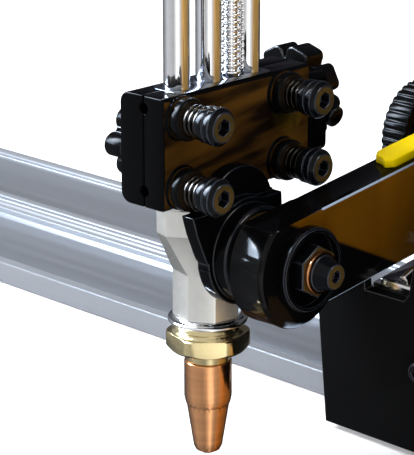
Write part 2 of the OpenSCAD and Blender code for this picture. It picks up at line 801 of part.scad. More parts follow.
module arm() {
  color([0.1, 0.1, 0.11])
    difference() {
      union() {
        difference() {
          translate([0, -arm_reach, arm_z]) {
            bar_x(arm_x0 + 0.8, arm_x1 - 1.3, hub_d / 2);
            cone_x(arm_x1 - 1.3, arm_x1, hub_d / 2, hub_d / 2 - 1.3);
            cone_x(arm_x0, arm_x0 + 0.8, hub_d / 2 - 0.8, hub_d / 2);
          }
          block([arm_x0 - 1, -arm_reach - hub_d, arm_top], [arm_x1 + 1, -arm_reach + hub_d, arm_z + hub_d]);
        }
        along_y(-arm_reach, arm_tail) round_rect([arm_x0, arm_bottom], [arm_x1, arm_top], 0.8);
      }
      translate([0, -arm_reach, arm_z]) bar_x(arm_x0 - 1, arm_x1 + 1, pivot_d / 2 + run_gap);
      for (y = strip_screw_places()) translate([strip_x0 + strip_w / 2, y, arm_top - 6]) cylinder(h = 10, d = 2.9);
      for (y = rack_screw_places()) translate([0, y, rack_screw_z()]) bar_x(arm_x0 - 5, arm_x0 + 7, 1.45);
    }
}

function strip_screw_places() = [for (y = [-20, 60, 150]) y];
function rack_screw_places() = [for (y = [rack_bar_y0 + 9, rack_bar_y1 - 9]) y];
function rack_screw_z() = rack_teeth_z + feed_module * 2.2 + rack_bar_h / 2;

// Bar of teeth facing down, fastened to the arm's rear face
module arm_rack() {
  pitch = PI * feed_module;
  below = floor((feed_y - rack_bar_y0) / pitch) - 1;
  above = floor((rack_bar_y1 - feed_y) / pitch) - 1;
  color("silver")
    difference() {
      along_x(rack_bar_x0, arm_x0)
        polygon(concat(
          [[rack_bar_y1, rack_teeth_z + feed_module * 2.2 + rack_bar_h], [rack_bar_y0, rack_teeth_z + feed_module * 2.2 + rack_bar_h],
           [rack_bar_y0, rack_teeth_z + feed_module * 2.2]],
          [
            for (i = [-below : above], k = [0 : 3])
              [feed_y + (i - 0.5) * pitch + [-0.36, -0.12, 0.12, 0.36][k] * pitch,
               rack_teeth_z + [feed_module * 2.2, 0, 0, feed_module * 2.2][k]]
          ],
          [[rack_bar_y1, rack_teeth_z + feed_module * 2.2]]
        ));
      for (y = rack_screw_places()) translate([0, y, rack_screw_z()]) {
        bar_x(rack_bar_x0 - 1, arm_x0 + 1, 1.6);
        bar_x(rack_bar_x0 - 1, rack_bar_x0 + 1.7, 3.1);
      }
    }
}

module arm_strip() {
  color("gold")
    difference() {
      translate([0, 0, arm_top])
        linear_extrude(strip_t)
          polygon([
            [strip_x0 + strip_w, strip_y0 + 2.5], [strip_x0 + strip_w, strip_y1], [strip_x0, strip_y1],
            [strip_x0, strip_y0 + 5.5], [strip_x0 + 2, strip_y0 + 2.5], [strip_x0 + 5, strip_y0 + 2], [strip_x0 + strip_w - 2.5, strip_y0]
          ]);
      for (y = strip_screw_places()) translate([strip_x0 + strip_w / 2, y, arm_top - 1]) {
        cylinder(h = 10, d = 3.2);
        translate([0, 0, 1 + strip_t - 1.7]) cylinder(h = 5, d = 6.2);
      }
    }
}

module arm_screws() {
  color("silver") {
    for (y = strip_screw_places()) translate([strip_x0 + strip_w / 2, y, arm_top + strip_t - 1.7]) small_screw();
    for (y = rack_screw_places()) translate([rack_bar_x0 + 1.7, y, rack_screw_z()]) rotate([0, -90, 0]) small_screw();
  }
}

module small_screw() {
  difference() {
    union() {
      cylinder(h = 1.5, d = 5.8);
      translate([0, 0, -6]) cylinder(h = 6 + tiny, d = 2.8);
    }
    translate([0, 0, 0.7]) cylinder(h = 2, d = 2.9, $fn = 6);
  }
}

// Casting that carries the clamp and turns on the arm's hub
module bevel_bracket() {
  color([0.1, 0.1, 0.11])
    torch_frame()
      difference() {
        union() {
          along_x(front_half_t, web_x0 + 2.3) {
            translate([0, block_bottom - 6]) translate([-16.5, 0]) square([33, 2]);
            translate([-16.5, block_bottom - 6]) square([33, 6]);
            intersection() {
              translate([0, 13]) circle(16.5);
              translate([-20, block_bottom - 6]) square([40, 40]);
            }
          }
          along_x(web_x0, web_x1) {
            circle(19);
            polygon([
              [-18.8, -3], [-18.7, -1], [-19.9, 0.4], [-21.2, 3], [-24.6, 11], [-26.6, block_bottom - 1],
              [17.6, block_bottom - 1], [18.2, 8], [18.4, 0]
            ]);
          }
          bar_x(web_x1 - tiny, disc_x1 - 0.8, bevel_d / 2);
          cone_x(disc_x1 - 0.8, disc_x1, bevel_d / 2, bevel_d / 2 - 0.8);
        }
        bar_x(web_x0 - 1, disc_x1 + 1, pivot_d / 2);
        for (p = bracket_screws_at) translate([0, p, bracket_screw_q]) bar_x(0, front_half_t + 4, screw_shank_d / 2);
      }
}

module bracket_screws() {
  color([0.15, 0.15, 0.16])
    torch_frame()
      for (p = bracket_screws_at)
        translate([bracket_seat, p, bracket_screw_q]) rotate([0, -90, 0])
          cap_screw(7, 2.2, screw_shank_d - 0.1, front_half_t + 3.6 - bracket_seat, 3);
}

module friction_washer() {
  color("darkgoldenrod")
    torch_frame()
      difference() {
        bar_x(disc_x1, arm_x0 - 0.05, 15);
        bar_x(disc_x1 - 1, arm_x0 + 1, pivot_d / 2);
      }
}

module pivot_bolt() {
  color([0.25, 0.26, 0.28])
    torch_frame()
      difference() {
        union() {
          bar_x(web_x0 + 0.3, cap_x + 4, pivot_d / 2);
          cone_x(cap_x + 4 - tiny, cap_x + 9.7, pivot_d / 2, pivot_d / 2 - 1.7);
        }
        bar_x_hex(cap_x + 7.2, cap_x + 12, 3.6);
      }
}

// Six-sided bar along X, cut with flats
module bar_x_hex(x0, x1, af) {
  translate([x0, 0, 0]) rotate([0, 90, 0]) cylinder(h = x1 - x0, d = af / cos(30), $fn = 6);
}

module pivot_nut() {
  color([0.16, 0.16, 0.18])
    torch_frame()
      difference() {
        bar_x_hex(arm_x1 + 0.6 + 1.2, cap_x + 2, 16);
        bar_x(arm_x1, cap_x + 3, pivot_d / 2);
      }
}

module pivot_washer() {
  color([0.8, 0.45, 0.25])
    torch_frame()
      difference() {
        bar_x(cap_x + 2, cap_x + 3.6, 7.3);
        bar_x(cap_x + 1, cap_x + 5, pivot_d / 2);
      }
}

// Dished cap that the nut sits in
module pivot_cap() {
  color([0.12, 0.12, 0.13])
    torch_frame()
      difference() {
        union() {
          bar_x(arm_x1 + 0.05, cap_x - 0.6, cap_r);
          cone_x(cap_x - 0.6, cap_x, cap_r, cap_r - 0.6);
        }
        bar_x(arm_x1 + 0.6 + 1.2, cap_x + 1, cap_r - 1.7);
        bar_x(arm_x1 - 1, cap_x + 1, pivot_d / 2);
      }
}

// Grooves and holes that the two clamp halves share
module clamp_cuts() {
  for (p = tubes_at) translate([0, p, block_bottom - 1]) cylinder(h = block_h + 2, r = tube_r + tube_gap);
  translate([0, rack_at, block_bottom - 1]) cylinder(h = block_h + 2, r = rack_r + 0.3);
  for (p = [screw_left, screw_right], q = [screw_low, screw_high])
    translate([0, p, q]) bar_x(-rear_half_t - 1, front_half_t + 2, clamp_shank_d / 2 + 0.05);
  for (q = [block_bottom + 5.5, block_top - 4.5]) translate([0, 0, q]) bar_y(block_left - 1, block_left + 5, 1.9);
  guide_plate_form(0.05);
}

module guide_plate_form(gap) {
  translate([0, 0, block_top - 2.4 - gap])
    linear_extrude(2.8)
      round_rect([-7.2 - gap, -21.4 - gap], [8 + gap, 25.2 + gap], 4);
}

module front_clamp() {
  color([0.11, 0.11, 0.12])
    torch_frame()
      difference() {
        union() {
          along_y(block_left, block_right)
            polygon([
              [split_gap, block_bottom], [front_half_t - 0.8, block_bottom], [front_half_t, block_bottom + 0.8],
              [front_half_t, block_top - 1], [front_half_t - 1, block_top], [split_gap, block_top]
            ]);
          for (p = [screw_left, screw_right], q = [screw_low, screw_high])
            translate([0, p, q]) bar_x(front_half_t - tiny, front_half_t + 1.2, 7.6);
        }
        clamp_cuts();
        for (p = bracket_screws_at)
          translate([0, p, bracket_screw_q]) {
            bar_x(0, front_half_t + 1, screw_shank_d / 2);
            bar_x(0, bracket_seat, 3.7);
          }
      }
}

module rear_clamp() {
  color([0.11, 0.11, 0.12])
    torch_frame()
      difference() {
        union() {
          along_y(block_left, block_right) rear_outline();
          along_y(3, rack_at + 7) translate([lift_x, lift_q]) circle(lift_r + rack_module + 2.6);
          translate([lift_x, 0, lift_q]) bar_y(3, ear_right, lift_shaft_d / 2 + 3.4);
          along_y(block_right - 1, ear_right)
            round_rect([lift_x - 6, block_bottom + 3], [4.8, block_top - 6], 3);
        }
        block([-split_gap, block_left - 1, block_bottom - 1], [20, block_right + pass_gap, block_top + 1]);
        clamp_cuts();
        translate([lift_x, 0, lift_q]) bar_y(6, ear_right + 1, lift_shaft_d / 2 + run_gap);
        translate([lift_x, 0, lift_q]) bar_y(rack_at - 3.4, rack_at + 3.4, lift_r + rack_module + 0.5);
        translate([0, lock_p, lock_q]) bar_x(-rear_half_t - 1, 0, 2.6);
      }
}

module rear_outline() {
  difference() {
    round_rect([-rear_half_t, block_bottom], [8, block_top], 4);
    translate([-split_gap, block_bottom - 1]) square([20, block_h + 2]);
  }
}

// Four socket cap screws of the clamp
module clamp_screws() {
  color([0.2, 0.2, 0.22])
    torch_frame()
      for (p = [screw_left, screw_right], q = [screw_low, screw_high])
        translate([cap_seat(), p, q]) rotate([0, 90, 0])
          difference() {
            union() {
              cylinder(h = 3, d = cap_head_d - 0.4);
              translate([0, 0, 3]) cylinder(h = 0.5, d = cap_head_d - 1.4);
              translate([0, 0, 3.5]) cylinder(h = 2.3, d = cap_head_d);
              translate([0, 0, 5.8]) cylinder(h = 1.7, d1 = cap_head_d, d2 = cap_head_d - 3);
              translate([0, 0, -cap_seat() - rear_half_t + 0.5]) cylinder(h = cap_seat() + rear_half_t, d = clamp_shank_d);
            }
            translate([0, 0, 3.6]) cylinder(h = 5, d = 5 / cos(30), $fn = 6);
          }
}

function collar_end() = front_half_t + 1.2 + 3.9;
function neck_end() = collar_end() + 0.5;
function cap_seat() = neck_end() + 3 * spring_pitch;

module clamp_collars() {
  color([0.13, 0.13, 0.15])
    torch_frame()
      for (p = [screw_left, screw_right], q = [screw_low, screw_high])
        translate([0, p, q])
          difference() {
            union() {
              cone_x(front_half_t + 1.2, front_half_t + 1.9, 6.6, 7.3);
              bar_x(front_half_t + 1.9, collar_end() - 0.7, 7.3);
              cone_x(collar_end() - 0.7, collar_end(), 7.3, 6.6);
              bar_x(collar_end() - tiny, neck_end(), 5.9);
            }
            bar_x(0, cap_seat(), clamp_shank_d / 2);
          }
}

// Three pairs of disc springs under each screw head
module disc_springs() {
  color("silver")
    torch_frame()
      for (p = [screw_left, screw_right], q = [screw_low, screw_high])
        translate([neck_end(), p, q]) rotate([0, 90, 0]) rotate_extrude()
          polygon(concat(
            [[clamp_shank_d / 2, 0]],
            [for (i = [0 : 2], s = [[3.8, 0], [5.7, 0.65], [5.7, spring_pitch - 0.65]]) [s[0], s[1] + i * spring_pitch]],
            [[3.8, 3 * spring_pitch], [clamp_shank_d / 2, 3 * spring_pitch]]
          ));
}

module guide_plate() {
  color("gainsboro")
    torch_frame()
      difference() {
        intersection() {
          guide_plate_form(0);
          block([-20, -40, 0], [20, 60, block_top]);
        }
        for (p = tubes_at) translate([0, p, block_bottom]) cylinder(h = block_h + 2, r = tube_r + tube_gap);
        translate([0, rack_at, block_bottom]) cylinder(h = block_h + 2, r = rack_r + 0.3);
      }
}

// Star knob, held on its shaft by a cap screw through one lobe
module lift_knob() {
  color([0.1, 0.1, 0.11])
    torch_frame()
      translate([lift_x, 0, lift_q])
        difference() {
          union() {
            along_y(knob_p, knob_p + star_knob_t) star_outline();
            bar_y(knob_p + star_knob_t - tiny, knob_p + star_knob_t + 3, 8);
            translate([0, knob_p + star_screw_r + 0.4, 0]) rotate([0, star_screw_angle, 0])
              bar_x(star_knob_d / 2 - 5, star_knob_d / 2 + 3.6, star_screw_r);
          }
          bar_y(ear_right - 1, knob_p + 9, lift_shaft_d / 2);
          translate([0, knob_p + star_screw_r + 0.4, 0]) rotate([0, star_screw_angle, 0])
            bar_x_hex(star_knob_d / 2 + 1.6, star_knob_d / 2 + 5, 4);
        }
}

module star_outline() {
  circle(star_knob_d / 2 - 4.6);
  for (i = [0 : star_lobes - 1])
    rotate(i * 360 / star_lobes - star_screw_angle)
      round_rect([star_knob_d / 2 - 9, -5], [star_knob_d / 2, 5], 2.6);
}

module lift_pinion() {
  color("silver")
    torch_frame()
      translate([lift_x, 0, lift_q]) {
        bar_y(6.4, knob_p + 9, lift_shaft_d / 2);
        along_y(rack_at - 2.8, rack_at + 2.8) gear_flat(lift_teeth, rack_module, 0.5);
      }
}

// Small lobed knob whose stud presses on the first gas tube
module torch_lock_knob() {
  color([0.1, 0.1, 0.11])
    torch_frame()
      translate([0, lock_p, lock_q]) {
        bar_x(-rear_half_t - 3, -tube_r - 0.4, 2.5);
        bar_x(-rear_half_t - 4, -rear_half_t - pass_gap, 6.5);
        along_x(-rear_half_t - 12, -rear_half_t - 3.5) lobed(5, lock_knob_d / 2 - 4.2, 4.2, 8, 36);
      }
}

module torch_tubes() {
  color("silver")
    torch_frame()
      for (p = tubes_at) translate([0, p, head_top]) cylinder(h = tube_top - head_top, r = tube_r);
}

// Round bar with rings of teeth
module torch_rack() {
  first = ceil((head_top + 2 - lift_q) / rack_pitch - 0.5);
  last = floor((tube_top - 4 - lift_q) / rack_pitch - 0.5);
  color("silver")
    torch_frame()
      translate([0, rack_at, 0]) rotate_extrude($fn = 40)
        polygon(concat(
          [[0, head_top], [rack_r - 0.95, head_top]],
          [
            for (i = [first : last], k = [0 : 3])
              [rack_r - [0.95, 0, 0, 0.95][k], lift_q + (i + 0.5) * rack_pitch + [-0.36, -0.12, 0.12, 0.36][k] * rack_pitch]
          ],
          [[rack_r - 0.95, tube_top], [0, tube_top]]
        ));
}

// Nickel body: an eight-sided lower part that widens into a long top for the tubes
module torch_head() {
  color("gainsboro")
    torch_frame() {
      translate([0, 0, head_base]) linear_extrude(head_neck - head_base) head_octagon();
      hull() {
        translate([0, 0, head_neck - loft_lap]) linear_extrude(loft_lap) offset(delta = -loft_inset) head_octagon();
        translate([0, 0, head_shoulder]) linear_extrude(loft_lap) offset(delta = -loft_inset) head_plan();
      }
      translate([0, 0, head_shoulder]) linear_extrude(head_top - head_shoulder) head_plan();
    }
}

module head_octagon() {
  rotate(22.5 + head_turn) circle(d = head_af / cos(22.5), $fn = 8);
}

module head_plan() {
  polygon([[-6.6, -18.8], [-0.8, -20.2], [6.8, -15.8], [6.8, 20.6], [3, 24.4], [-6.6, 24.4]]);
}

module head_ring() {
  color("silver")
    torch_frame()
      translate([0, 0, -tip_drop + ring_z0]) rotate_extrude()
        polygon([
          [0, 0], [11.9, 0], [13.4, 2.2], [14.2, 2.8], [14.4, 3.4], [14, 4], [12.9, 4.4], [12.4, ring_h], [0, ring_h]
        ]);
}

module nozzle_nut() {
  color("gold")
    torch_frame()
      translate([0, 0, -tip_drop + nut_z0])
        difference() {
          union() {
            intersection() {
              rotate([0, 0, -15]) cylinder(h = nut_h, d = nut_af / cos(30), $fn = 6);
              rotate_extrude() nut_turning();
            }
            translate([0, 0, nut_h - tiny]) cylinder(h = nut_cone_h + tiny, r1 = nut_af / 2 - 0.4, r2 = 11.6);
            translate([0, 0, -nut_skirt_h]) cylinder(h = nut_skirt_h + tiny, d = nozzle_d - 1);
          }
          translate([0, 0, -5]) cylinder(h = 30, d = nozzle_d - 3);
        }
}

// Outline that turns the nut's corners off
module nut_turning() {
  polygon([
    [0, 0], [nut_af / 2 - 0.3, 0], [nut_af / 2 + 1.4, 1.4], [nut_af / 2 + 1.4, nut_h - 0.5],
    [nut_af / 2 + 0.9, nut_h], [0, nut_h]
  ]);
}

module nozzle() {
  color([0.8, 0.45, 0.25])
    torch_frame()
      translate([0, 0, -tip_drop])
        difference() {
          rotate_extrude()
            polygon([
              [0, 1], [4.4, 1], [5.15, 2.7], [nozzle_d / 2 - 0.9, 18.6], [nozzle_d / 2 - 0.5, 19.4], [nozzle_d / 2, 21.7],
              [nozzle_d / 2, nut_z0 - nut_skirt_h - 0.5], [nozzle_d / 2 - 0.6, nut_z0 - nut_skirt_h],
              [nozzle_d / 2 - 1.5, nut_z0 - nut_skirt_h], [nozzle_d / 2 - 1.5, ring_z0], [0, ring_z0]
            ]);
          translate([0, 0, -1]) cylinder(h = 12, r = 2.6);
        }
}

module nozzle_core() {
  color([0.45, 0.22, 0.12])
    torch_frame()
      translate([0, 0, -tip_drop])
        difference() {
          cylinder(h = 10.9, r = 2.6);
          translate([0, 0, -1]) cylinder(h = 8, r = 0.8);
        }
}

// Brass body on top of the tubes, with three valve seats
module valve_block() {
  color("gainsboro")
    torch_frame()
      difference() {
        union() {
          translate([0, 0, tube_top]) linear_extrude(valve_h) round_rect([-10, -24], [10, 28], 4);
          for (p = tubes_at) translate([0, p, tube_top + valve_h - 8]) bar_x(10 - tiny, 17, 6);
        }
        for (p = tubes_at) {
          translate([0, p, tube_top + valve_h - 8]) bar_x(4, 30, 2.5 + run_gap);
          translate([0, p, tube_top + valve_h - 3]) cylinder(h = 20, r = 3);
        }
      }
}

// Knurled valve knob on its spindle
module valve_knob(p) {
  torch_frame()
    translate([0, p, tube_top + valve_h - 8]) {
      bar_x(5, 20, 2.5);
      along_x(17 + pass_gap, 30)
        difference() {
          circle(7);
          for (i = [0 : 11]) rotate(i * 30) translate([7.6, 0]) circle(r = 1.3, $fn = 16);
        }
    }
}

module oxygen_valve() {
  color("royalblue") valve_knob(tubes_at[0]);
}

module preheat_valve() {
  color("steelblue") valve_knob(tubes_at[1]);
}

module fuel_valve() {
  color("firebrick") valve_knob(tubes_at[2]);
}

module hose_connectors() {
  color("goldenrod")
    torch_frame()
      for (p = tubes_at)
        translate([0, p, tube_top + valve_h]) {
          translate([0, 0, -3]) cylinder(h = 3 + tiny, r = 3);
          cylinder(h = 6, d = 13 / cos(30), $fn = 6);
          difference() {
            union() {
              cylinder(h = 8, r = 5.4);
              cylinder(h = 8 + spigot_len, d = spigot_d);
              translate([0, 0, 8 + spigot_len]) cylinder(h = 3, d1 = spigot_d, d2 = spigot_d - 2);
            }
            translate([0, 0, 7]) cylinder(h = 30, r = 1.9);
          }
        }
}

rail();
joiner_pins();
chassis();
front_plate();
rear_plate();
body_screws();
housing();
control_panel();
power_lamp();
fuse_holder();
power_inlet();
carry_handle();
drive_motor();
gearbox();
circuit_board();
axle_bearings();
arm_guide();
guide_liners();
arm_cradle();
speed_knob();
direction_switch();
clutch_lever();
feed_knob();
feed_pinion();
arm_lock_knob();
drive_wheel_set();
idler_wheel_set();
output_gear();
arm();
arm_rack();
arm_strip();
arm_screws();
bevel_bracket();
friction_washer();
pivot_bolt();
pivot_nut();
pivot_washer();
pivot_cap();
front_clamp();
rear_clamp();
clamp_screws();
clamp_collars();
disc_springs();
guide_plate();
bracket_screws();
lift_knob();
lift_pinion();
torch_lock_knob();
torch_tubes();
torch_rack();
torch_head();
head_ring();
nozzle_nut();
nozzle();
nozzle_core();
valve_block();
oxygen_valve();
preheat_valve();
fuel_valve();
hose_connectors();
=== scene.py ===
import json
import math

import bpy
from mathutils import Matrix, Vector


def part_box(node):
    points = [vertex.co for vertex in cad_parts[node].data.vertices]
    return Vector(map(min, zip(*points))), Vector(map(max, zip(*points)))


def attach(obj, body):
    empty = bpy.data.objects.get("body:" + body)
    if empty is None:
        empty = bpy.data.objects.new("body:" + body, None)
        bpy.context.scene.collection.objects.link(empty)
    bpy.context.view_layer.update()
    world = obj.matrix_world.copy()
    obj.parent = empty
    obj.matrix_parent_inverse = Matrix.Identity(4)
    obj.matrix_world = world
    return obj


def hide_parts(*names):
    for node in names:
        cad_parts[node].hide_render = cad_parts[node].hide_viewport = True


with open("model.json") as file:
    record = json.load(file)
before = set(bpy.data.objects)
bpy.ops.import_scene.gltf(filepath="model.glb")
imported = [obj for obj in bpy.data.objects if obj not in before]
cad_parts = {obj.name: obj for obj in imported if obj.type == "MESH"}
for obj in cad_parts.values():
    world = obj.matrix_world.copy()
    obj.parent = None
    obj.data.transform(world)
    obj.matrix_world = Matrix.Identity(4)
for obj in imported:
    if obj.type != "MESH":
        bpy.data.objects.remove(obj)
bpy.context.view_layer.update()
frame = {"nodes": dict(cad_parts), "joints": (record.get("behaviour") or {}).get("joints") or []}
nodes = frame["nodes"]
joints = {joint["name"]: joint for joint in frame["joints"]}

# Camera.
# It looks down along the machine from beside the torch, through a long lens, and is tipped a little
# to one side as a hand-held camera is. The picture is 414 by 455, so its height takes the sensor.
view_azimuth, view_elevation, view_roll = math.radians(45.4), math.radians(22.7), math.radians(-5.0)
camera_place = Vector((0.4556, -0.5563, 0.3595))
picture_height_px, focal_length_px = 455, 2000
sensor_size, nearest_seen = 36, 0.05
away = Vector((
    math.sin(view_azimuth) * math.cos(view_elevation),
    -math.cos(view_azimuth) * math.cos(view_elevation),
    math.sin(view_elevation),
))
level = Vector((math.cos(view_azimuth), math.sin(view_azimuth), 0))
upright = level.cross(-away)
across = level * math.cos(view_roll) + upright * math.sin(view_roll)
upward = upright * math.cos(view_roll) - level * math.sin(view_roll)
camera_data = bpy.data.cameras.new("camera")
camera_data.sensor_width = sensor_size
camera_data.lens = focal_length_px * sensor_size / picture_height_px
camera_data.clip_start = nearest_seen
camera = bpy.data.objects.new("camera", camera_data)
bpy.context.scene.collection.objects.link(camera)
view_turn = Matrix((across, upward, away)).transposed()
camera.matrix_world = Matrix.Translation(camera_place) @ view_turn.to_4x4()
bpy.context.scene.camera = camera
bpy.context.scene.view_settings.view_transform = "Standard"

# Floor and studio.
# A pale floor runs out to nothing, a key light stands at the upper left and a weaker one at the right.
# The camera sees white all round, but metal reflects a studio with a bright front, a warm card and dark
# corners. Its colours stand at angles of the direction looked in, counter-clockwise from +X.
torch_place = Vector((0.02, -0.09, 0.09))
floor_size, floor_centre_x, floor_depth = 6, 0.05, 0.0006
floor_colour, floor_glow = (0.86, 0.86, 0.87), 0.20
room_light, room_seen = 0.82, 1.0
eye_level, steep_rays, steep_shade = (0.10, -0.20), (0.45, 0.90), 0.50
room_ring = (
    (0, (0.60, 0.52, 0.42)), (8, (0.75, 0.58, 0.38)), (24, (0.72, 0.40, 0.13)),
    (48, (0.46, 0.27, 0.10)), (74, (0.30, 0.19, 0.08)), (100, (0.06, 0.055, 0.05)),
    (145, (0.05, 0.05, 0.07)), (180, (0.18, 0.19, 0.21)), (205, (0.40, 0.41, 0.44)),
    (230, (0.66, 0.68, 0.72)), (260, (0.60, 0.61, 0.63)), (290, (0.50, 0.51, 0.53)),
    (306, (0.95, 0.95, 0.95)), (324, (2.1, 2.1, 2.1)), (342, (0.80, 0.80, 0.80)), (360, (0.60, 0.52, 0.42)),
)
room_dome = (
    (0, (0.60, 0.58, 0.55)), (60, (0.16, 0.16, 0.17)), (100, (0.07, 0.07, 0.08)), (150, (0.08, 0.08, 0.10)),
    (190, (0.45, 0.47, 0.50)), (240, (0.95, 0.96, 0.98)), (330, (1.0, 1.0, 1.0)), (360, (0.60, 0.58, 0.55)),
)


def principled(material):
    return next(n for n in material.node_tree.nodes if n.type == "BSDF_PRINCIPLED")


def feed(socket, value):
    """Gives a socket another node's output or a constant."""
    if isinstance(value, bpy.types.NodeSocket):
        socket.id_data.links.new(value, socket)
    else:
        socket.default_value = value


def parts_of(tree, vector):
    """A vector's X, Y and Z."""
    node = tree.nodes.new("ShaderNodeSeparateXYZ")
    feed(node.inputs[0], vector)
    return node.outputs


def calculate(tree, operation, first, second=0.0):
    node = tree.nodes.new("ShaderNodeMath")
    node.operation = operation
    feed(node.inputs[0], first)
    feed(node.inputs[1], second)
    return node.outputs[0]


def between(tree, value, span, result=(0.0, 1.0), smooth=False):
    """Goes from one result to the other while a value crosses its span, and stops at both ends."""
    node = tree.nodes.new("ShaderNodeMapRange")
    node.interpolation_type = "SMOOTHSTEP" if smooth else "LINEAR"
    for name, setting in zip(("Value", "From Min", "From Max", "To Min", "To Max"), (value, *span, *result)):
        feed(node.inputs[name], setting)
    return node.outputs[0]


def blend(tree, factor, first, second, way="MIX"):
    """Mixes two colours."""
    node = tree.nodes.new("ShaderNodeMix")
    node.data_type, node.blend_type = "RGBA", way
    feed(node.inputs[0], factor)
    feed(node.inputs[6], first)
    feed(node.inputs[7], second)
    return node.outputs[2]


def choose(tree, rays, usual, special):
    """One shader for the rays named, and another for all the rest."""
    node = tree.nodes.new("ShaderNodeMixShader")
    feed(node.inputs[0], rays)
    feed(node.inputs[1], usual)
    feed(node.inputs[2], special)
    return node.outputs[0]


def room_colour(tree):
    """The colour that metal sees in the direction of a ray: the ring below eye level, the dome above it."""
    ray = parts_of(tree, tree.nodes.new("ShaderNodeNewGeometry").outputs["Incoming"])
    bearing = calculate(tree, "ARCTAN2", ray["Y"], ray["X"])
    around = between(tree, bearing, (-math.pi, math.pi))
    bands = []
    for band in (room_ring, room_dome):
        ramp = tree.nodes.new("ShaderNodeValToRGB")
        stops = ramp.color_ramp.elements
        while len(stops) < len(band):
            stops.new(0.5)
        for stop, (angle, colour) in zip(stops, band):
            stop.position = angle / 360
            stop.color = (*colour, 1)
        feed(ramp.inputs["Fac"], around)
        bands.append(ramp.outputs["Color"])
    ring, dome = bands
    steep = between(tree, ray["Z"], steep_rays, (1.0, steep_shade))
    height = between(tree, ray["Z"], eye_level, smooth=True)
    return blend(tree, height, blend(tree, 1.0, ring, steep, "MULTIPLY"), dome)


bpy.ops.object.select_all(action="DESELECT")
bpy.ops.mesh.primitive_plane_add(size=floor_size, location=(floor_centre_x, 0, -floor_depth))
floor = bpy.context.object
floor.name = "studio_floor"
floor_paint = bpy.data.materials.new("studio_floor")
floor_paint.use_nodes = True
tree, paint = floor_paint.node_tree, principled(floor_paint)
paint.inputs["Base Color"].default_value = (*floor_colour, 1)
paint.inputs["Roughness"].default_value = 0.9
paint.inputs["Specular IOR Level"].default_value = 0.1
glow = tree.nodes.new("ShaderNodeEmission")
glow.inputs["Strength"].default_value = floor_glow
room = tree.nodes.new("ShaderNodeEmission")
feed(room.inputs["Color"], room_colour(tree))
glowing = tree.nodes.new("ShaderNodeAddShader")
feed(glowing.inputs[0], paint.outputs[0])
feed(glowing.inputs[1], glow.outputs[0])
rays = tree.nodes.new("ShaderNodeLightPath").outputs
seen = choose(tree, rays["Is Camera Ray"], paint.outputs[0], glowing.outputs[0])
output = next(n for n in tree.nodes if n.type == "OUTPUT_MATERIAL")
feed(output.inputs["Surface"], choose(tree, rays["Is Glossy Ray"], seen, room.outputs[0]))
floor.data.materials.append(floor_paint)

world = bpy.data.worlds.new("studio")
world.use_nodes = True
bpy.context.scene.world = world
tree = world.node_tree
backdrop = next(n for n in tree.nodes if n.type == "BACKGROUND")
rays = tree.nodes.new("ShaderNodeLightPath").outputs
seen = calculate(tree, "MAXIMUM", rays["Is Camera Ray"], rays["Is Glossy Ray"])
seen = calculate(tree, "MAXIMUM", seen, rays["Is Transmission Ray"])
feed(backdrop.inputs["Strength"], between(tree, seen, (0.0, 1.0), (room_light, room_seen)))
feed(backdrop.inputs["Color"], blend(tree, rays["Is Glossy Ray"], (1, 1, 1, 1), room_colour(tree)))

for name, side, distance, width, height, watts, tint, lights_surfaces in (
    ("key_softbox", (-0.66, -0.35, 0.65), 1.1, 0.34, 0.42, 18, (0.95, 0.97, 1.0), True),
    ("key_reflection", (-0.66, -0.42, 0.60), 1.0, 0.46, 0.80, 60, (0.66, 0.80, 1.0), False),
    ("right_softbox", (0.75, 0.25, 0.60), 1.4, 0.5, 0.7, 6, (1.0, 0.97, 0.92), True),
):
    lamp_data = bpy.data.lights.new(name, "AREA")
    lamp_data.shape = "RECTANGLE"
    lamp_data.size, lamp_data.size_y = width, height
    lamp_data.energy = watts
    lamp_data.color = tint
    lamp = bpy.data.objects.new(name, lamp_data)
    bpy.context.scene.collection.objects.link(lamp)
    lamp.visible_diffuse = lights_surfaces
    lamp.location = torch_place + Vector(side).normalized() * distance
    lamp.rotation_euler = (torch_place - lamp.location).to_track_quat("-Z", "Y").to_euler()

# Rail and its joiner pins.
# An extruded aluminium rail with two wheel channels, left as drawn: fine lines run along it, painted
# shade makes the channel floors darker than the lands, and turned steel pins at one end join it to the
# next rail.
channel_to_land, channel_shade, land_shade = (0.0074, 0.0096), 0.45, 0.78
side_to_top, side_shade = (0.3, 0.8), 0.80
most_grain = (0.3, 0.7)
least_roughness = 0.02
same_place = 0.000002
flat_angle, corner_angle, smooth_angle = math.radians(0.6), math.radians(30), math.radians(32)


def new_finish(name, colour, roughness, metal=0.0, specular=0.5):
    material = bpy.data.materials.new(name)
    material.use_nodes = True
    shader = principled(material)
    shader.inputs["Base Color"].default_value = (*colour, 1)
    shader.inputs["Metallic"].default_value = metal
    shader.inputs["Roughness"].default_value = roughness
    shader.inputs["Specular IOR Level"].default_value = specular
    return material


def held(socket):
    """What a socket has now: another node's output or a constant."""
    return socket.links[0].from_socket if socket.is_linked else socket.default_value


